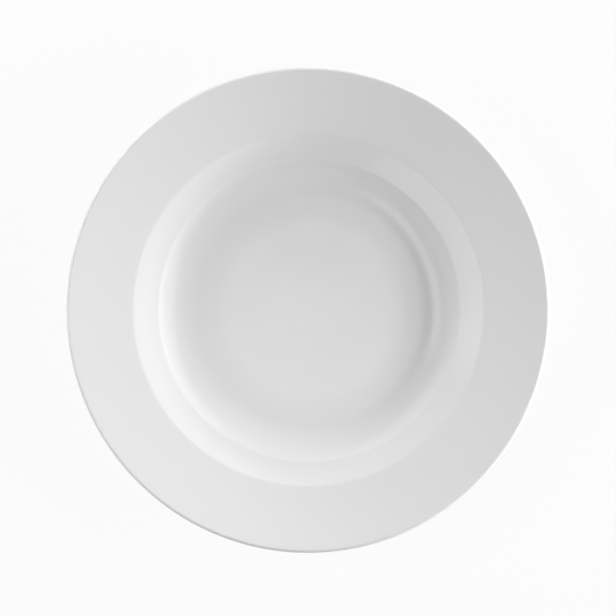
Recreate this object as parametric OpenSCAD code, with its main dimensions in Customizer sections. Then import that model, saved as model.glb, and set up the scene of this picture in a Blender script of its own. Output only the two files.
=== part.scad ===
// Pasta bowl: a wide-rimmed porcelain bowl, turned about the Z axis.
// The clay body is one fired piece. A thin glaze covers its face, lip and back,
// and a second patch of glaze covers the hollow inside the foot. The foot itself is wiped bare.
// Millimetres, +Z up, with the origin on the table under the centre of the bowl.

/* [Bowl] */
// Diameter across the lip
bowl_d = 305; // [250:1:330]
// Height of the lip above the table
bowl_h = 42; // [40:0.5:52]

/* [Rim] */
// Width of the rim, from the lip in to the shoulder, seen from above
rim_w = 41.5; // [32:0.5:50]
// Slope of the rim beside the shoulder, in degrees
rim_slope = 11; // [8:0.5:12]
// Slope of the rim beside the lip, in degrees
lip_slope = 13.5; // [12.5:0.5:18]
// Radius of the sweep that joins those two slopes
rim_sweep = 600; // [300:10:700]
// Upright thickness of the lip
lip_t = 4.2; // [3.4:0.1:5.4]
// Rounding of the lip's two edges
lip_round = 1.8; // [0.8:0.1:2.2]

/* [Shoulder] */
// Width of the shoulder, from the rim in to the well, seen from above
shoulder_w = 15.5; // [12:0.1:20]
// Slope of the shoulder, in degrees
shoulder_slope = 24.5; // [20:0.5:28]
// Rounding of the edge between rim and shoulder
rim_edge_round = 9; // [3:0.5:14]

/* [Well] */
// Slope of the well's wall beside the hollow, in degrees
wall_slope = 32; // [29:0.5:35]
// Slope of the well's wall beside the shoulder, in degrees
wall_top_slope = 41; // [38:0.5:45]
// Share of the wall's height that the steeper part takes
wall_top_share = 0.52; // [0.4:0.01:0.6]
// Radius of the sweep that joins those two slopes
wall_sweep = 50; // [20:5:80]
// Rounding of the edge between shoulder and wall
well_edge_round = 7.5; // [3:0.5:12]
// Rounding of the hollow between wall and floor
floor_round = 29; // [14:1:36]
// Width of the gently rising outer part of the floor
dish_w = 25; // [20:0.5:30]
// Slope of that part, in degrees
dish_slope = 6; // [3:0.5:8]
// Radius of the sweep that joins it to the level middle of the floor
dish_sweep = 150; // [80:10:200]
// Thickness at the well's edge, the shoulder and the inner rim
wall_t = 5; // [4:0.1:6]
// Thickness of the floor in the middle
floor_t = 6; // [4.8:0.1:7.5]
// Rounding of the two hollows on the back, under the rim's edge and the well's edge
back_round = 9; // [4:0.5:14]

/* [Foot] */
// Depth of the hollow inside the foot
foot_h = 5; // [4:0.1:6.5]
// Width of the foot at the table
foot_w = 6; // [4.8:0.1:8]
// How far the foot's outer side stands outside the edge of the floor
foot_outset = 0.5; // [-1:0.1:2]
// Taper of the foot's sides, in degrees
foot_draft = 6; // [2:0.5:10]
// Rounding of the bare edges that meet the table
foot_round = 1.4; // [0.6:0.1:1.6]
// Rounding where the foot grows out of the back
foot_root_round = 3; // [1:0.5:5]
// Rounding where the foot meets the hollow inside it
recess_round = 2; // [0.8:0.1:3]

/* [Glaze] */
// Thickness of the glaze
glaze_t = 0.4; // [0.25:0.05:0.6]
// Height of the bare strip wiped round the foot
bare_h = 1.8; // [1.4:0.1:2.4]

/* [Hidden] */
clay_colour = [0.91, 0.90, 0.88];
glaze_colour = [0.94, 0.94, 0.94];

// Turn between two neighbouring points of a rounding, in degrees
arc_step = 4;
$fn = 180;

// Share of the lip's thickness that one rounding may take
lip_round_share = 0.45;
lip_fit = min(lip_round, lip_round_share * lip_t);
// The hollow's rounding ends above the bare strip
recess_fit = min(recess_round, foot_h - bare_h - glaze_t);

bowl_r = bowl_d / 2;
verge_r = bowl_r - rim_w;
well_r = verge_r - shoulder_w;
rim_mid_r = (bowl_r + verge_r) / 2;

// The lip's rounding takes a little off its sharp corner, so the corner stands above bowl_h
lip_z = bowl_h + lip_fit * (tan(lip_slope) + 1 / cos(lip_slope) - 1);
rim_mid_z = lip_z - (bowl_r - rim_mid_r) * tan(lip_slope);
verge_z = rim_mid_z - (rim_mid_r - verge_r) * tan(rim_slope);
well_z = verge_z - shoulder_w * tan(shoulder_slope);
floor_z = foot_h + floor_t;
edge_z = floor_z + dish_w * tan(dish_slope);
wall_mid_z = well_z - wall_top_share * (well_z - edge_z);
wall_mid_r = well_r - (well_z - wall_mid_z) / tan(wall_top_slope);
floor_r = wall_mid_r - (wall_mid_z - edge_z) / tan(wall_slope);
dish_r = floor_r - dish_w;

// The hollow's rounding and the two sweeps take at most these shares of what they lie on
hollow_share = 0.6;
sweep_share = 0.35;
dish_share = 0.45;
wall_low_length = (wall_mid_z - edge_z) / sin(wall_slope);
wall_top_length = (well_z - wall_mid_z) / sin(wall_top_slope);
hollow_turn = tan((wall_slope - dish_slope) / 2);
sweep_turn = tan((wall_top_slope - wall_slope) / 2);
floor_fit = min(floor_round, hollow_share * wall_low_length / hollow_turn, dish_share * dish_w / hollow_turn);
sweep_fit = min(wall_sweep, sweep_share * min(wall_low_length, wall_top_length) / sweep_turn);
dish_fit = min(dish_sweep, dish_share * dish_w / tan(dish_slope / 2));

foot_outer_r = floor_r + foot_outset;
foot_inner_r = foot_outer_r - foot_w;
draft = tan(foot_draft);

// Outlines are open paths of corners, each [distance from the axis, height, rounding].
// They run outwards over the face and back inwards underneath, so the clay lies on their right.

function flat(corner) = [corner.x, corner.y];
function unit(v) = v / norm(v);
function right_of(v) = [v.y, -v.x];
function reversed(list) = [for (i = [len(list) - 1:-1:0]) list[i]];

// The sideways step that moves corner b of the path a, b, c by t to its right
function step_right(a, b, c, t) =
    let (m = right_of(unit(flat(b) - flat(a))), n = right_of(unit(flat(c) - flat(b))))
    t * (m + n) / (1 + m * n);

// The point where the line through p along u meets the line through q along v
function meet(p, u, q, v) = p + u * cross(q - p, v) / cross(u, v);

// The point of the line from a to b at height z
function at_height(a, b, z) = [a.x + (b.x - a.x) * (z - a.y) / (b.y - a.y), z, 0];

// A path moved by t to its right, with every rounding kept concentric.
// Its two ends lie on the axis, where the path is level, so they move straight up or down.
function inset(path, t) =
    let (last = len(path) - 1)
    [for (i = [0:last])
        i == 0 ? path[i] - [0, t, 0] :
        i == last ? path[i] + [0, t, 0] :
        let (
            a = path[i - 1], b = path[i], c = path[i + 1],
            p = flat(b) + step_right(a, b, c, t),
            bends_left = cross(flat(b) - flat(a), flat(c) - flat(b)) > 0
        )
        [p.x, p.y, b.z + (bends_left ? t : -t)]
    ];

// The points of a rounding of radius r at corner b of the path a, b, c
function arc(a, b, c, r) =
    let (
        u = unit(a - b), v = unit(c - b),
        half = acos(u * v) / 2,
        centre = b + unit(u + v) * r / sin(half),
        start = b + u * r / tan(half) - centre,
        turn = (cross(-u, v) > 0 ? 1 : -1) * (180 - 2 * half),
        steps = ceil(abs(turn) / arc_step)
    )
    [for (i = [0:steps])
        let (w = turn * i / steps)
        centre + [start.x * cos(w) - start.y * sin(w), start.x * sin(w) + start.y * cos(w)]
    ];

// A path's points, with its corners rounded
function rounded(path) =
    let (last = len(path) - 1)
    [for (i = [0:last])
        each i == 0 || i == last || path[i].z == 0 ? [flat(path[i])] :
            arc(flat(path[i - 1]), flat(path[i]), flat(path[i + 1]), path[i].z)
    ];

// The upper face, from the middle of the floor out to the lip
face = [
    [0, floor_z, 0],
    [dish_r, floor_z, dish_fit],
    [floor_r, edge_z, floor_fit],
    [wall_mid_r, wall_mid_z, sweep_fit],
    [well_r, well_z, well_edge_round],
    [verge_r, verge_z, rim_edge_round],
    [rim_mid_r, rim_mid_z, rim_sweep],
    [bowl_r, lip_z, lip_fit]
];

// The back, from the lip in to the root of the foot, a wall's thickness under the face.
// Behind the well it is straight, from the floor's edge to the well's edge.
back_verge = flat(face[5]) + step_right(face[4], face[5], face[6], wall_t);
back_well = flat(face[4]) + step_right(face[2], face[4], face[5], wall_t);
foot_root = meet(back_well, flat(face[4] - face[2]), [foot_outer_r, 0], [draft, 1]);
back = [
    [bowl_r, lip_z - lip_t, lip_fit],
    [back_verge.x, back_verge.y, back_round],
    [back_well.x, back_well.y, back_round],
    [foot_root.x, foot_root.y, foot_root_round]
];

// The foot as if it were glazed all over, a glaze thickness below the table
foot = [
    [foot_outer_r - glaze_t * draft, -glaze_t, foot_round + glaze_t],
    [foot_inner_r + glaze_t * draft, -glaze_t, foot_round + glaze_t]
];

// The hollow inside the foot, in to the axis
recess = [
    [foot_inner_r - foot_h * draft, foot_h, recess_fit],
    [0, foot_h, 0]
];

glazed = concat(face, back, foot, recess);
clay = inset(glazed, glaze_t);

// The last corner before the foot and the first one after it
root = len(face) + len(back) - 1;
hollow = root + len(foot) + 1;

// The part of a path that the coat covers: from the axis to the bare strip outside the foot
function coat(path) = [for (i = [0:root + 1]) i <= root ? path[i] : at_height(path[root], path[i], bare_h)];

// The part of a path that the patch covers: from the bare strip inside the foot to the axis
function patch(path) =
    [for (i = [hollow - 1:len(path) - 1]) i < hollow ? at_height(path[i], path[hollow], bare_h) : path[i]];

// A skin turned about the axis, between its glazed surface and the clay under it
module turned_skin(outer, inner) {
    rotate_extrude() polygon(concat(rounded(outer), reversed(rounded(inner))));
}

// Rim, shoulder, well and foot, formed and fired as one piece
module porcelain_body() {
    color(clay_colour) rotate_extrude() polygon(rounded(clay));
}

// Glaze over the face, round the lip and down the back to the bare strip
module glaze_coat() {
    color(glaze_colour) turned_skin(coat(glazed), coat(clay));
}

// Glaze in the hollow inside the foot
module foot_recess_glaze() {
    color(glaze_colour) turned_skin(patch(glazed), patch(clay));
}

porcelain_body();
glaze_coat();
foot_recess_glaze();
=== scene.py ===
# %% [markdown]
# # A white porcelain pasta bowl
# The solids of this bowl were made before, in CAD: a body of fired clay, a coat of glaze over its
# face, lip and back, and a patch of glaze in the hollow inside the foot. This lesson makes the
# surfaces that the eye sees. Each piece is turned again with many more points than a CAD solid
# needs, in the same place, and gets the finish that kiln-fired porcelain has.

# %% Load the solids
import math

import bmesh
import bpy
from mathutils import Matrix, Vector


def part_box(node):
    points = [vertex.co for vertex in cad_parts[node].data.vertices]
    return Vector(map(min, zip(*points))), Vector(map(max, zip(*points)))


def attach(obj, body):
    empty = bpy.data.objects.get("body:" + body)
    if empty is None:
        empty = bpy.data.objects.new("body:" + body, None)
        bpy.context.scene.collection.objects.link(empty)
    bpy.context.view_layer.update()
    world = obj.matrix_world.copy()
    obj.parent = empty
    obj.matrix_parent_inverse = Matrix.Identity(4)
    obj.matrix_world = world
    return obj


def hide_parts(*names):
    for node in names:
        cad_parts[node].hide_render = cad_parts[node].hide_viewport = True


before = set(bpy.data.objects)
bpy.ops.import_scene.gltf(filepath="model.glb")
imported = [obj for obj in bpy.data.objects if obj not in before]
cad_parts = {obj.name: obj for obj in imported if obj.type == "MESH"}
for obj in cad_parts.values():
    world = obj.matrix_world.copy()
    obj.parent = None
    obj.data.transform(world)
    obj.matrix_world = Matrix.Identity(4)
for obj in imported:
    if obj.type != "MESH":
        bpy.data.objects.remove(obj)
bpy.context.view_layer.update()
MM = 0.001
print("solids:", sorted(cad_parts))

# %% [markdown]
# ## The outline
# A potter makes a bowl like this with a template: clay spins on a wheel, and a blade cut to the
# bowl's half section shapes it. So the whole form is one line, and it is given here as a short
# list of corners with a rounding at each. The sizes are the ones that the solids were made from,
# in millimetres, because a maker thinks of a bowl in millimetres. Blender works in metres, and
# the change is made once, when the points are handed over.

# %% Sizes of the rim and shoulder
BOWL_D = 305
BOWL_H = 42
RIM_W = 41.5
RIM_SLOPE = math.radians(11)
LIP_SLOPE = math.radians(13.5)
RIM_SWEEP = 600
LIP_T = 4.2
LIP_ROUND = 1.8
SHOULDER_W = 15.5
SHOULDER_SLOPE = math.radians(24.5)
RIM_EDGE_ROUND = 9
print("rim", RIM_W, "mm and shoulder", SHOULDER_W, "mm wide")

# %% Sizes of the well
WALL_TOP_SLOPE = math.radians(41)
WALL_TOP_SHARE = 0.52
WALL_SLOPE = math.radians(32)
WALL_SWEEP = 45
WELL_EDGE_ROUND = 7.5
FLOOR_ROUND = 29
DISH_W = 25
DISH_SLOPE = math.radians(6)
DISH_SWEEP = 150
WALL_T = 5
FLOOR_T = 6
BACK_ROUND = 9
wall_slopes = [round(math.degrees(slope)) for slope in (WALL_SLOPE, WALL_TOP_SLOPE)]
print("well wall slopes", wall_slopes, "degrees, bottom and top")

# %% Sizes of the foot and the glaze
FOOT_H = 5
FOOT_W = 6
FOOT_OUTSET = 0.5
# Sideways run of the foot's leaning sides for each millimetre of height
FOOT_DRAFT = math.tan(math.radians(6))
FOOT_ROUND = 1.4
FOOT_ROOT_ROUND = 3
RECESS_ROUND = 2
GLAZE_T = 0.4
BARE_H = 1.8
print("glaze", GLAZE_T, "mm thick, bare strip", BARE_H, "mm high")

# %% [markdown]
# The face runs from the middle of the floor out to the lip. Its corners are found from the lip
# downwards, because the photograph shows the widths and the light on each band shows its slope.
# A corner is (distance from the axis, height, rounding).

# %% Corners of the face
bowl_r = BOWL_D / 2
verge_r = bowl_r - RIM_W
well_r = verge_r - SHOULDER_W
rim_mid_r = (bowl_r + verge_r) / 2
lip_z = BOWL_H + LIP_ROUND * (math.tan(LIP_SLOPE) + 1 / math.cos(LIP_SLOPE) - 1)
rim_mid_z = lip_z - (bowl_r - rim_mid_r) * math.tan(LIP_SLOPE)
verge_z = rim_mid_z - (rim_mid_r - verge_r) * math.tan(RIM_SLOPE)
well_z = verge_z - SHOULDER_W * math.tan(SHOULDER_SLOPE)
floor_z = FOOT_H + FLOOR_T
edge_z = floor_z + DISH_W * math.tan(DISH_SLOPE)
wall_mid_z = well_z - WALL_TOP_SHARE * (well_z - edge_z)
wall_mid_r = well_r - (well_z - wall_mid_z) / math.tan(WALL_TOP_SLOPE)
floor_r = wall_mid_r - (wall_mid_z - edge_z) / math.tan(WALL_SLOPE)
face = [
    (0, floor_z, 0),
    (floor_r - DISH_W, floor_z, DISH_SWEEP),
    (floor_r, edge_z, FLOOR_ROUND),
    (wall_mid_r, wall_mid_z, WALL_SWEEP),
    (well_r, well_z, WELL_EDGE_ROUND),
    (verge_r, verge_z, RIM_EDGE_ROUND),
    (rim_mid_r, rim_mid_z, RIM_SWEEP),
    (bowl_r, lip_z, LIP_ROUND),
]
print("floor edge at", round(floor_r, 2), "mm, well edge at", (well_r, round(well_z, 2)))

# %% [markdown]
# The back follows the face at the thickness of the wall. Moving a line sideways by a thickness is
# done corner by corner: the two neighbouring edges move along their own normals, and the corner
# goes where they meet again.

# %% Moving a path sideways
def direction(a, b):
    return Vector((b[0] - a[0], b[1] - a[1])).normalized()


def right_of(way):
    return Vector((way.y, -way.x))


def step_right(a, b, c, distance):
    before = right_of(direction(a, b))
    after = right_of(direction(b, c))
    return (before + after) * distance / (1 + before.dot(after))


def cross(u, v):
    return u.x * v.y - u.y * v.x


def inset(path, distance):
    moved = [(path[0][0], path[0][1] - distance, 0)]
    for a, b, c in zip(path, path[1:], path[2:]):
        step = step_right(a, b, c, distance)
        turns_left = cross(direction(a, b), direction(b, c)) > 0
        grown = distance if turns_left else -distance
        moved.append((b[0] + step.x, b[1] + step.y, b[2] + grown))
    moved.append((path[-1][0], path[-1][1] + distance, 0))
    return moved


wall_step = step_right(face[2], face[4], face[5], WALL_T)
print("wall moved by", [round(part, 2) for part in wall_step], "mm at the well's edge")

# %% Corners of the back, the foot and the hollow inside it
rim_step = step_right(face[4], face[5], face[6], WALL_T)
foot_outer_r = floor_r + FOOT_OUTSET
foot_inner_r = foot_outer_r - FOOT_W
wall_run = (well_r - floor_r) / (well_z - edge_z)
back_well_r = well_r + wall_step.x
back_well_z = well_z + wall_step.y
root_z = (foot_outer_r - back_well_r + back_well_z * wall_run) / (wall_run - FOOT_DRAFT)
back = [
    (bowl_r, lip_z - LIP_T, LIP_ROUND),
    (verge_r + rim_step.x, verge_z + rim_step.y, BACK_ROUND),
    (back_well_r, back_well_z, BACK_ROUND),
    (foot_outer_r + root_z * FOOT_DRAFT, root_z, FOOT_ROOT_ROUND),
]
foot = [
    (foot_outer_r - GLAZE_T * FOOT_DRAFT, -GLAZE_T, FOOT_ROUND + GLAZE_T),
    (foot_inner_r + GLAZE_T * FOOT_DRAFT, -GLAZE_T, FOOT_ROUND + GLAZE_T),
]
hollow = [(foot_inner_r - FOOT_H * FOOT_DRAFT, FOOT_H, RECESS_ROUND), (0, FOOT_H, 0)]
glazed = face + back + foot + hollow
clay = inset(glazed, GLAZE_T)
print("foot grows out of the back at", round(root_z, 2), "mm above the table")

# %% [markdown]
# ## From corners to points
# Each corner becomes an arc, and each arc is split so finely that no chord leaves the true curve
# by more than a set amount. A tight lip then gets short steps and a wide sweep gets long ones,
# which is how a smooth surface is bought with few points. Straight runs are split as well, so that
# smooth shading doesn't spread the turn of an arc over a whole band.

# %% Rounding the corners
def arc_points(a, b, c, radius, deviation):
    back_way = direction(b, a)
    on_way = direction(b, c)
    half = math.acos(max(-1, min(1, back_way.dot(on_way)))) / 2
    corner = Vector(b[:2])
    centre = corner + (back_way + on_way).normalized() * radius / math.sin(half)
    spoke = corner + back_way * radius / math.tan(half) - centre
    turn = math.copysign(math.pi - 2 * half, cross(-back_way, on_way))
    steps = math.ceil(abs(turn) / (2 * math.acos(1 - deviation / radius)))
    points = []
    for step in range(steps + 1):
        angle = turn * step / steps
        x = spoke.x * math.cos(angle) - spoke.y * math.sin(angle)
        z = spoke.x * math.sin(angle) + spoke.y * math.cos(angle)
        points.append(centre + Vector((x, z)))
    return points


def rounded(path, deviation, longest):
    corners = [Vector(path[0][:2])]
    for a, b, c in zip(path, path[1:], path[2:]):
        corners += arc_points(a, b, c, b[2], deviation) if b[2] > 0 else [Vector(b[:2])]
    corners.append(Vector(path[-1][:2]))
    points = corners[:1]
    for start, end in zip(corners, corners[1:]):
        parts = math.ceil((end - start).length / longest)
        points += [start.lerp(end, part / parts) for part in range(1, parts + 1)]
    return points


# Millimetres by which a chord may leave the true curve, and the longest step along the outline
SEEN = {"deviation": 0.002, "longest": 2.5}
HIDDEN = {"deviation": 0.03, "longest": 8}
print("points on the clay's outline:", len(rounded(clay, **SEEN)))

# %% [markdown]
# The glaze stops at a line that is wiped round the foot, so that the bowl doesn't stick to the kiln
# shelf. Molten glass has no square edge: surface tension draws it into a small round bead. So the
# visible skin ends in a rounding instead of the flat step that the solids have.

# %% Outlines of the three pieces
BEAD_ROUND = 0.3


def at_height(a, b, z):
    share = (z - a[1]) / (b[1] - a[1])
    return a[0] + (b[0] - a[0]) * share


root = len(face) + len(back) - 1
foot_end = root + len(foot)
coat_end = (at_height(glazed[root], glazed[root + 1], BARE_H), BARE_H, BEAD_ROUND)
coat_seat = (at_height(clay[root], clay[root + 1], BARE_H), BARE_H, 0)
coat_skin = rounded(glazed[:root + 1] + [coat_end, coat_seat], **SEEN)
coat_inside = rounded([coat_seat] + clay[root::-1], **HIDDEN)
coat_outline = coat_skin + coat_inside[1:]

patch_end = (at_height(glazed[foot_end], glazed[foot_end + 1], BARE_H), BARE_H, BEAD_ROUND)
patch_seat = (at_height(clay[foot_end], clay[foot_end + 1], BARE_H), BARE_H, 0)
patch_inside = rounded(clay[:foot_end:-1] + [patch_seat], **HIDDEN)
patch_skin = rounded([patch_seat, patch_end] + glazed[foot_end + 1:], **SEEN)
patch_outline = patch_inside + patch_skin[1:]

# Most of the clay lies under the glaze, so only its foot has points as close as the skins have
body_outline = rounded(clay[:root], **HIDDEN)[:-1] + rounded(clay[root - 1:], **SEEN)
for name, outline in (("coat", coat_outline), ("patch", patch_outline), ("body", body_outline)):
    print(name, "outline has", len(outline), "points")

# %% [markdown]
# ## Finishes
# Node trees are long to write out by hand, so one small function adds a node, sets what it has to
# set and links what feeds it. Colours are written as sRGB hex values, as a colour picker shows
# them, and turned to the linear values that the renderer calculates with.

# %% Helpers for node trees
def add_node(tree, kind, feeds=None, **settings):
    node = tree.nodes.new(kind)
    for name, value in settings.items():
        setattr(node, name, value)
    for socket, value in (feeds or {}).items():
        if isinstance(value, bpy.types.NodeSocket):
            tree.links.new(value, node.inputs[socket])
        else:
            node.inputs[socket].default_value = value
    return node


def linear(hex_colour):
    # The numbers are those of the sRGB standard
    values = []
    for start in (1, 3, 5):
        share = int(hex_colour[start:start + 2], 16) / 255
        values.append(share / 12.92 if share <= 0.04045 else ((share + 0.055) / 1.055) ** 2.4)
    return (*values, 1.0)


def new_material(name):
    material = bpy.data.materials.new(name)
    material.use_nodes = True
    material.node_tree.nodes.clear()
    return material, material.node_tree


MIDDLE_GREY = "#808080"
print("sRGB", MIDDLE_GREY, "is", round(linear(MIDDLE_GREY)[0], 3), "in linear light")

# %% [markdown]
# ### Clear-glazed white porcelain
# The glaze is a clear glass, melted on to white clay at about 1300 degrees. The eye sees the white
# of the clay through a smooth wet-looking skin. Three small things tell it from plastic. The glass
# lies in soft waves a few millimetres long, so reflections are not quite straight. It runs thin over
# the lip, where the clay looks a little whiter. A lighter ring on the well's edge is partly thin glaze
# and partly a painted highlight, and a darker ring in the hollow between wall and floor is partly
# pooled glaze and partly painted shade. And its gloss isn't even to the last degree.

# %% Glaze: coordinates and waves
glaze, tree = new_material("clear_glazed_white_porcelain")
place = add_node(tree, "ShaderNodeTexCoord").outputs["Object"]
GLAZE_WAVE = 7
GLAZE_WAVE_DEPTH = 0.004
waves = add_node(
    tree, "ShaderNodeTexNoise", {"Vector": place, "Scale": 1 / (GLAZE_WAVE * MM), "Detail": 1.0})
wave_bump = add_node(
    tree, "ShaderNodeBump",
    {"Height": waves.outputs["Fac"], "Strength": 1.0, "Distance": GLAZE_WAVE_DEPTH * MM})
print("glaze waves are", GLAZE_WAVE, "mm long and", GLAZE_WAVE_DEPTH, "mm deep")

# %% [markdown]
# How thick the glaze lies depends only on the distance from the axis, because the form is turned.
# So the distance is read off the Object coordinates and sent through a colour ramp, which also holds
# a painted highlight on the well's edge and painted shade in the hollow. Soft noise is
# added to the distance first, so that no ring looks drawn with compasses.

# %% Glaze: thin over the lip, painted highlight on the well's edge, pooled glaze and painted shade in the hollow
LIP_WHITE = linear("#F4F4F4")
# Painted highlight: the well's edge is drawn lighter, partly for thin glaze and partly for a gleam on the
# edge
EDGE_WHITE_AND_HIGHLIGHT = linear("#F1F1F1")
GLAZE_WHITE = linear("#EEEEEE")
# Painted shade: the hollow between wall and floor is drawn darker, partly for pooled glaze and partly for
# shade
POOL_WHITE_AND_SHADE = linear("#EAEAEA")
flat_place = add_node(
    tree, "ShaderNodeVectorMath", {0: place, 1: (1, 1, 0)}, operation="MULTIPLY").outputs["Vector"]
distance = add_node(tree, "ShaderNodeVectorMath", {0: flat_place}, operation="LENGTH").outputs["Value"]
RUN = 30
runs = add_node(tree, "ShaderNodeTexNoise", {"Vector": place, "Scale": 1 / (RUN * MM), "Detail": 2.0})
RUN_WIDTH = 1.6
shifted = add_node(
    tree, "ShaderNodeMath", {0: runs.outputs["Fac"], 1: RUN_WIDTH * MM, 2: distance},
    operation="MULTIPLY_ADD").outputs["Value"]
share = add_node(
    tree, "ShaderNodeMath", {0: shifted, 1: (bowl_r + RUN_WIDTH) * MM}, operation="DIVIDE").outputs["Value"]
thickness_and_painted_light = add_node(tree, "ShaderNodeValToRGB", {"Fac": share})
thickness_and_painted_light.color_ramp.interpolation = "EASE"


def ramp_place(radius):
    return (radius + RUN_WIDTH / 2) / (bowl_r + RUN_WIDTH)


# Where the painted shade and pooled glaze in the hollow begin and are darkest, in millimetres inside the
# floor's edge and the well's edge
POOL_SHADE_START = 28
POOL_SHADE_MIDDLE = 6
# Half the width of the painted highlight and thin glaze on the well's edge, in millimetres
EDGE_HIGHLIGHT_HALF = 1.2
LIP_START = 2
LIP_FULL = 0.5
tones = [
    (floor_r - POOL_SHADE_START, GLAZE_WHITE),
    (floor_r - POOL_SHADE_MIDDLE, POOL_WHITE_AND_SHADE),
    (well_r - POOL_SHADE_MIDDLE, GLAZE_WHITE),
    (well_r - EDGE_HIGHLIGHT_HALF, GLAZE_WHITE),
    (well_r, EDGE_WHITE_AND_HIGHLIGHT),
    (well_r + EDGE_HIGHLIGHT_HALF, GLAZE_WHITE),
    (bowl_r - LIP_START, GLAZE_WHITE),
    (bowl_r - LIP_FULL, LIP_WHITE),
]
stops = thickness_and_painted_light.color_ramp.elements
stops[0].position = 0
stops[0].color = GLAZE_WHITE
stops[1].position = 1
stops[1].color = LIP_WHITE
for radius, tone in tones:
    stop = stops.new(ramp_place(radius))
    stop.color = tone
print("tones of the glaze:", len(stops))

# %% Glaze: gloss and shader
# Length over which the gloss stays even
EVEN_GLOSS = 20
gloss_noise = add_node(
    tree, "ShaderNodeTexNoise", {"Vector": place, "Scale": 1 / (EVEN_GLOSS * MM), "Detail": 4.0})
# The noise seldom leaves this range
NOISE_LOW = 0.3
NOISE_HIGH = 0.7
SMOOTHEST = 0.18
ROUGHEST = 0.24
gloss = add_node(
    tree, "ShaderNodeMapRange",
    {"Value": gloss_noise.outputs["Fac"], "From Min": NOISE_LOW, "From Max": NOISE_HIGH,
     "To Min": SMOOTHEST, "To Max": ROUGHEST})
# Glaze and fired porcelain bend light about as much as window glass does
PORCELAIN_IOR = 1.5
shader = add_node(
    tree, "ShaderNodeBsdfPrincipled",
    {"Base Color": thickness_and_painted_light.outputs["Color"], "Roughness": gloss.outputs["Result"],
     "IOR": PORCELAIN_IOR, "Normal": wave_bump.outputs["Normal"]})
add_node(tree, "ShaderNodeOutputMaterial", {"Surface": shader.outputs["BSDF"]})
print("glaze roughness", SMOOTHEST, "to", ROUGHEST)

# %% [markdown]
# ### Bare fired porcelain
# The foot ring is wiped free of glaze and, after firing, ground on a flat wheel. That leaves matt
# clay, a little warmer than the glazed white, with a fine sandy grain, faint rings from the grinding
# and grey rub marks from the tables that it has stood on. The grain of porcelain is finer than a
# tenth of a millimetre and wouldn't show, so it is drawn at a third of a millimetre.

# %% Bare clay: grain and grinding rings
bare, tree = new_material("bare_fired_porcelain")
place = add_node(tree, "ShaderNodeTexCoord").outputs["Object"]
GRAIN = 0.35
grain = add_node(tree, "ShaderNodeTexNoise", {"Vector": place, "Scale": 1 / (GRAIN * MM), "Detail": 3.0})
RING_GAP = 0.6
# Width of one ring of the wave texture at a scale of 1
WAVE_UNIT = 2 * math.pi / 20
rings = add_node(
    tree, "ShaderNodeTexWave",
    {"Vector": place, "Scale": WAVE_UNIT / (RING_GAP * MM), "Distortion": 1.5, "Detail": 2.0},
    wave_type="RINGS", rings_direction="Z")
# Depth of the rings as a share of the grain's
RING_SHARE = 0.4
relief = add_node(
    tree, "ShaderNodeMath", {0: rings.outputs["Fac"], 1: RING_SHARE, 2: grain.outputs["Fac"]},
    operation="MULTIPLY_ADD")
GRAIN_DEPTH = 0.03
clay_bump = add_node(
    tree, "ShaderNodeBump",
    {"Height": relief.outputs["Value"], "Strength": 1.0, "Distance": GRAIN_DEPTH * MM})
print("clay grain", GRAIN, "mm, grinding rings", RING_GAP, "mm apart")

# %% Bare clay: rub marks and shader
RUB = 9
rubs = add_node(
    tree, "ShaderNodeTexNoise",
    {"Vector": place, "Scale": 1 / (RUB * MM), "Detail": 6.0, "Roughness": 0.7})
# The clay is rubbed grey where the noise is below the first value, and clean above the second
RUBBED = 0.36
CLEAN = 0.52
RUB_GREY = linear("#CFCBC3")
CLAY_WHITE = linear("#E9E5DC")
tone = add_node(tree, "ShaderNodeValToRGB", {"Fac": rubs.outputs["Fac"]})
tone.color_ramp.elements[0].position = RUBBED
tone.color_ramp.elements[0].color = RUB_GREY
tone.color_ramp.elements[1].position = CLEAN
tone.color_ramp.elements[1].color = CLAY_WHITE
CLAY_ROUGHNESS = 0.78
shader = add_node(
    tree, "ShaderNodeBsdfPrincipled",
    {"Base Color": tone.outputs["Color"], "Roughness": CLAY_ROUGHNESS, "IOR": PORCELAIN_IOR,
     "Normal": clay_bump.outputs["Normal"]})
add_node(tree, "ShaderNodeOutputMaterial", {"Surface": shader.outputs["BSDF"]})
print("rub marks", RUB, "mm long, clay roughness", CLAY_ROUGHNESS)

# %% [markdown]
# ## Turning the pieces
# Blender has a Screw modifier for turned forms, but a node tree shows better what turning is. A grid
# has one row for each point of the outline and one column for each step round the axis. Every grid
# point looks up its outline point by its row, and is rotated about the axis by its column. Merging
# by distance then closes the seam and the two poles.
# The line where the glaze was wiped off wanders a little, because it is done with a sponge. So the
# lowest few millimetres of a skin rise and fall by a noise, which is a named input as well.

# %% The turning tree: inputs
turning = bpy.data.node_groups.new("turned_on_a_wheel", "GeometryNodeTree")
turning.is_modifier = True
sockets = {}
for name, kind in (
    ("Outline", "NodeSocketGeometry"), ("Steps Round", "NodeSocketInt"),
    ("Seam Gap", "NodeSocketFloat"), ("Line Wander", "NodeSocketFloat"),
    ("Wander Top", "NodeSocketFloat"), ("Wander Length", "NodeSocketFloat"),
    ("Seed", "NodeSocketInt"), ("Finish", "NodeSocketMaterial"),
):
    sockets[name] = turning.interface.new_socket(name, in_out="INPUT", socket_type=kind)
turning.interface.new_socket("Piece", in_out="OUTPUT", socket_type="NodeSocketGeometry")
given = add_node(turning, "NodeGroupInput").outputs
print("inputs of the turning tree:", list(sockets))

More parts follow.
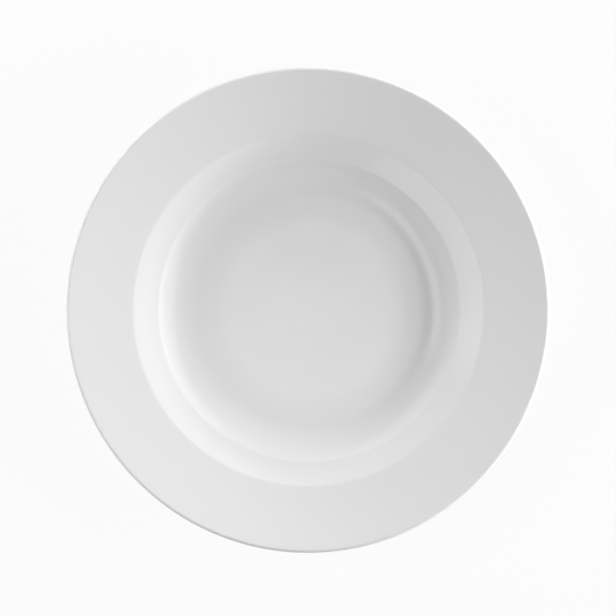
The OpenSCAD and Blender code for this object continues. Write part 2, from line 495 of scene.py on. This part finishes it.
# %% The turning tree: grid, rows and columns
rows = add_node(
    turning, "GeometryNodeAttributeDomainSize", {"Geometry": given["Outline"]}).outputs["Point Count"]
columns = add_node(
    turning, "ShaderNodeMath", {0: given["Steps Round"], 1: 1.0}, operation="ADD").outputs["Value"]
grid = add_node(
    turning, "GeometryNodeMeshGrid", {"Vertices X": columns, "Vertices Y": rows}).outputs["Mesh"]
index = add_node(turning, "GeometryNodeInputIndex").outputs["Index"]
row = add_node(turning, "ShaderNodeMath", {0: index, 1: rows}, operation="MODULO").outputs["Value"]
ratio = add_node(turning, "ShaderNodeMath", {0: index, 1: rows}, operation="DIVIDE").outputs["Value"]
column = add_node(turning, "ShaderNodeMath", {0: ratio}, operation="FLOOR").outputs["Value"]
turn_share = add_node(
    turning, "ShaderNodeMath", {0: column, 1: given["Steps Round"]}, operation="DIVIDE").outputs["Value"]
angle = add_node(
    turning, "ShaderNodeMath", {0: turn_share, 1: -2 * math.pi}, operation="MULTIPLY").outputs["Value"]
print("turning runs clockwise, so that faces point away from the clay")

# %% The turning tree: place the points
position = add_node(turning, "GeometryNodeInputPosition").outputs["Position"]
outline_point = add_node(
    turning, "GeometryNodeSampleIndex", {"Geometry": given["Outline"], "Value": position, "Index": row},
    data_type="FLOAT_VECTOR", domain="POINT").outputs["Value"]
turned = add_node(
    turning, "ShaderNodeVectorRotate", {"Vector": outline_point, "Angle": angle},
    rotation_type="Z_AXIS").outputs["Vector"]
placed = add_node(
    turning, "GeometryNodeSetPosition", {"Geometry": grid, "Position": turned}).outputs["Geometry"]
merged = add_node(
    turning, "GeometryNodeMergeByDistance",
    {"Geometry": placed, "Distance": given["Seam Gap"]}).outputs["Geometry"]
print("nodes so far:", len(turning.nodes))

# %% The turning tree: let the wiped line wander
height = add_node(turning, "ShaderNodeSeparateXYZ", {"Vector": position}).outputs["Z"]
nearness = add_node(
    turning, "ShaderNodeMapRange",
    {"Value": height, "From Min": given["Wander Top"], "From Max": BARE_H * MM,
     "To Min": 0.0, "To Max": 1.0},
    interpolation_type="SMOOTHSTEP").outputs["Result"]
fineness = add_node(
    turning, "ShaderNodeMath", {0: 1.0, 1: given["Wander Length"]}, operation="DIVIDE").outputs["Value"]
sponge = add_node(
    turning, "ShaderNodeTexNoise",
    {"Vector": position, "W": given["Seed"], "Scale": fineness, "Detail": 2.0},
    noise_dimensions="4D").outputs["Fac"]
# The sponge swings from end to end over this range of the noise
SPONGE_LOW = 0.2
SPONGE_HIGH = 0.8
swing = add_node(
    turning, "ShaderNodeMapRange",
    {"Value": sponge, "From Min": SPONGE_LOW, "From Max": SPONGE_HIGH, "To Min": -1.0, "To Max": 1.0}
).outputs["Result"]
amount = add_node(
    turning, "ShaderNodeMath", {0: swing, 1: given["Line Wander"]}, operation="MULTIPLY").outputs["Value"]
lift = add_node(turning, "ShaderNodeMath", {0: amount, 1: nearness}, operation="MULTIPLY").outputs["Value"]
print("the line wanders about a height of", BARE_H, "mm")

# %% The turning tree: move the line and finish the piece
offset = add_node(turning, "ShaderNodeCombineXYZ", {"Z": lift}).outputs["Vector"]
wandering = add_node(
    turning, "GeometryNodeSetPosition", {"Geometry": merged, "Offset": offset}).outputs["Geometry"]
smooth = add_node(turning, "GeometryNodeSetShadeSmooth", {"Geometry": wandering}).outputs["Geometry"]
real = add_node(turning, "GeometryNodeRealizeInstances", {"Geometry": smooth}).outputs["Geometry"]
finished = add_node(
    turning, "GeometryNodeSetMaterial", {"Geometry": real, "Material": given["Finish"]}).outputs["Geometry"]
add_node(turning, "NodeGroupOutput", {"Piece": finished})
print("nodes in the turning tree:", len(turning.nodes))

# %% [markdown]
# The tree is put on a mesh that holds only the outline. Its inputs are set by their identifiers,
# and the evaluated result is kept as a plain mesh, so that nothing live is left on the piece. A turned
# shell can come out inside out, so its volume is measured: it is positive if the faces look outwards.

# %% Turn an outline
def turned_piece(name, outline, values):
    mesh = bpy.data.meshes.new(name)
    points = [(point.x * MM, 0, point.y * MM) for point in outline]
    mesh.from_pydata(points, [(i, i + 1) for i in range(len(points) - 1)], [])
    piece = bpy.data.objects.new(name, mesh)
    bpy.context.scene.collection.objects.link(piece)
    wheel = piece.modifiers.new("wheel", "NODES")
    wheel.node_group = turning
    for socket, value in values.items():
        wheel[sockets[socket].identifier] = value
    evaluated = piece.evaluated_get(bpy.context.evaluated_depsgraph_get())
    piece.data = bpy.data.meshes.new_from_object(evaluated)
    piece.data.name = name
    piece.modifiers.clear()
    bpy.data.meshes.remove(mesh)
    return piece


STEPS_ROUND = 240
SEAM_GAP = 0.002
# The wander fades out at this height, and one swing of the line is about this long
WANDER_TOP = 4.2
WANDER_LENGTH = 22
COAT_SEED = 4
wheel_values = {
    "Steps Round": STEPS_ROUND, "Seam Gap": SEAM_GAP * MM, "Line Wander": 0.0,
    "Wander Top": WANDER_TOP * MM, "Wander Length": WANDER_LENGTH * MM, "Seed": COAT_SEED,
}
print("steps round the axis:", STEPS_ROUND)

# %% Turn the three pieces
WIPED_WANDER = 0.3
HOLLOW_SEED = 9
sponged = dict(wheel_values, **{"Line Wander": WIPED_WANDER * MM, "Finish": glaze})
glaze_skin = turned_piece("glaze_skin", coat_outline, sponged)
hollow_glaze = turned_piece("hollow_glaze", patch_outline, dict(sponged, Seed=HOLLOW_SEED))
clay_body = turned_piece("clay_body", body_outline, dict(wheel_values, Finish=bare))
print("turned:", [piece.name for piece in (glaze_skin, hollow_glaze, clay_body)])

# %% Give the pieces to the frame and measure them
LITRE = 0.001


def litres(piece):
    shell = bmesh.new()
    shell.from_mesh(piece.data)
    volume = shell.calc_volume(signed=True)
    shell.free()
    return volume / LITRE


made = [
    (glaze_skin, "glaze_coat", "clear_glaze"),
    (hollow_glaze, "foot_recess_glaze", "clear_glaze"),
    (clay_body, "porcelain_body", "porcelain_body"),
]
for piece, node, slot in made:
    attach(piece, "root")
    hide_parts(node)
    triangles = sum(len(polygon.vertices) - 2 for polygon in piece.data.polygons)
    solid_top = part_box(node)[1]
    top = [max(corner[axis] for corner in piece.bound_box) for axis in range(3)]
    gap = max(abs(top[axis] - solid_top[axis]) for axis in range(3))
    print(piece.name, triangles, "triangles,", round(litres(piece), 5), "l, top corner off by",
          round(gap / MM, 3), "mm")

# %% [markdown]
# ## Floor and surroundings
# The bowl was photographed as a cut-out on pure white. A white sweep of paper gives that: it is white
# to the camera, and to reflections in the glaze, yet it keeps a trace of the bowl's shadow, because
# a part of what the camera sees is the paper's own shaded surface. Other rays meet plain white paper,
# so the background adds no light to the bowl. The world does the same, and both ask one helper
# whether a ray comes from the camera, directly or by way of a mirror or glass.

# %% White paper
def seen_share(tree):
    path = add_node(tree, "ShaderNodeLightPath").outputs
    share = path["Is Camera Ray"]
    for kind in ("Is Glossy Ray", "Is Transmission Ray"):
        either = add_node(tree, "ShaderNodeMath", {0: share, 1: path[kind]}, operation="MAXIMUM")
        share = either.outputs["Value"]
    return share


PAPER_WHITE = linear("#EFEFEF")
PURE_WHITE = linear("#FFFFFF")
WHITE_SHARE = 0.91
paper, tree = new_material("white_paper_sweep")
white_share = add_node(
    tree, "ShaderNodeMath", {0: seen_share(tree), 1: WHITE_SHARE}, operation="MULTIPLY").outputs["Value"]
surface = add_node(tree, "ShaderNodeBsdfDiffuse", {"Color": PAPER_WHITE}).outputs["BSDF"]
glow = add_node(tree, "ShaderNodeEmission", {"Color": PURE_WHITE, "Strength": 1.0}).outputs["Emission"]
mixed = add_node(tree, "ShaderNodeMixShader", {"Fac": white_share, 1: surface, 2: glow}).outputs["Shader"]
add_node(tree, "ShaderNodeOutputMaterial", {"Surface": mixed})
print("share of pure white in the paper:", WHITE_SHARE)

# %% Paper floor
FLOOR_R = 6.0
FLOOR_SIDES = 96
# A hair below the table's height, so that paper and foot don't share one plane
PAPER_GAP = 0.05
sheet = bmesh.new()
bmesh.ops.create_circle(sheet, cap_ends=True, radius=FLOOR_R, segments=FLOOR_SIDES)
bmesh.ops.translate(sheet, verts=sheet.verts, vec=(0, 0, -PAPER_GAP * MM))
floor_mesh = bpy.data.meshes.new("paper_floor")
sheet.to_mesh(floor_mesh)
sheet.free()
floor_mesh.materials.append(paper)
paper_floor = bpy.data.objects.new("paper_floor", floor_mesh)
bpy.context.scene.collection.objects.link(paper_floor)
print("floor radius", FLOOR_R, "m")

# %% World
AMBIENT = 0.12
world = bpy.data.worlds.new("white_studio")
bpy.context.scene.world = world
world.use_nodes = True
# An even world needs no map of where its light comes from
world.cycles.sampling_method = "NONE"
tree = world.node_tree
tree.nodes.clear()
room = add_node(
    tree, "ShaderNodeBackground", {"Color": PURE_WHITE, "Strength": AMBIENT}).outputs["Background"]
backdrop = add_node(
    tree, "ShaderNodeBackground", {"Color": PURE_WHITE, "Strength": 1.0}).outputs["Background"]
mixed = add_node(
    tree, "ShaderNodeMixShader", {"Fac": seen_share(tree), 1: room, 2: backdrop}).outputs["Shader"]
add_node(tree, "ShaderNodeOutputWorld", {"Surface": mixed})
print("ambient light", AMBIENT)

# %% [markdown]
# ## Lamps
# The light in the photograph can be read off the bowl. Every band slopes inwards, so it is brightest
# on the side away from a lamp. The left and the bottom are brightest, so most of the light comes from
# the right and the top of the picture. Two thin strips stand just above the table: they light the rim,
# the shoulder and the top of the wall opposite, while the lip keeps them off the floor of the well.
# Softboxes above them light the floor too. All these are left out of reflections, because the
# photograph shows no lamp mirrored in the well. Only a softbox at the left is mirrored, as a pale
# sheen on the shoulder at the right, and a small one overhead, as a soft gleam on the floor.

# %% Softboxes
AIM_Z = BOWL_H * MM
LAMP_DISTANCE = 1.6


def softbox(name, place, size, watts):
    lamp = bpy.data.lights.new(name, "AREA")
    lamp.shape = "RECTANGLE"
    lamp.size, lamp.size_y = size
    lamp.energy = watts
    lamp_object = bpy.data.objects.new(name, lamp)
    bpy.context.scene.collection.objects.link(lamp_object)
    turn, rise = (math.radians(angle) for angle in place)
    way = Vector((math.cos(rise) * math.cos(turn), math.cos(rise) * math.sin(turn), math.sin(rise)))
    lamp_object.location = Vector((0, 0, AIM_Z)) + way * LAMP_DISTANCE
    lamp_object.rotation_euler = way.to_track_quat("Z", "Y").to_euler()
    lamp_object.visible_camera = False
    print(name, "at", [round(part, 2) for part in lamp_object.location], "m,", watts, "W")
    return lamp_object


# Each place is an angle round the bowl and an angle above the table, each size is in metres
for name, place, size, watts in (
    ("right_strip", (0, 4), (1.32, 0.073), 16.1),
    ("upper_left_strip", (135, 4), (1.32, 0.073), 6.8),
    ("right_softbox", (0, 25), (1.2, 0.39), 14.7),
    ("upper_right_softbox", (60, 12), (1.81, 0.22), 8.9),
    ("upper_left_softbox", (120, 12), (1.81, 0.22), 4.6),
    ("left_softbox", (180, 45), (1.31, 0.45), 4.1),
):
    softbox(name, place, size, watts).visible_glossy = False
softbox("mirrored_softbox", (200, 40), (1.72, 0.62), 7.1)
softbox("overhead_softbox", (182, 83), (0.38, 0.38), 0.9)

# %% [markdown]
# ## Camera
# The photograph looks straight down from well above. Deeper circles lie a few pixels to the right of
# the lip's circle, so the camera stood a little to the right of the bowl. It is placed on a slant of
# that angle and aimed so that the lip falls on the same pixels. The bowl's axis is put a little to the
# left of the picture's middle, because the nearer half of a slanted circle looks larger. A shifted
# lens would keep the lip a true circle, but every other view would be shifted too.

# %% Camera
# Pixels: the photograph's side, the lip's radius and how far the bowl's axis lies from the middle.
# The radius is about 1 more than what shows, because the lip's light edge is lost against white.
PHOTO_SIDE = 616
LIP_PIXELS = 243.2
RIGHT_OF_CENTRE = -1.5
BELOW_CENTRE = 1.9
CAMERA_DISTANCE = 2.4
CAMERA_SLANT = math.radians(5.5)
pixel = bowl_r * MM / LIP_PIXELS
camera_data = bpy.data.cameras.new("camera")
camera_data.lens = camera_data.sensor_width * CAMERA_DISTANCE / (PHOTO_SIDE * pixel)
camera = bpy.data.objects.new("camera", camera_data)
bpy.context.scene.collection.objects.link(camera)
aim = Vector((-RIGHT_OF_CENTRE * pixel, BELOW_CENTRE * pixel, AIM_Z))
camera.location = aim + Vector((math.sin(CAMERA_SLANT), 0, math.cos(CAMERA_SLANT))) * CAMERA_DISTANCE
camera.rotation_euler = (0, CAMERA_SLANT, 0)
bpy.context.scene.camera = camera
bpy.context.scene.view_settings.view_transform = "Standard"
print("lens", round(camera_data.lens, 1), "mm")
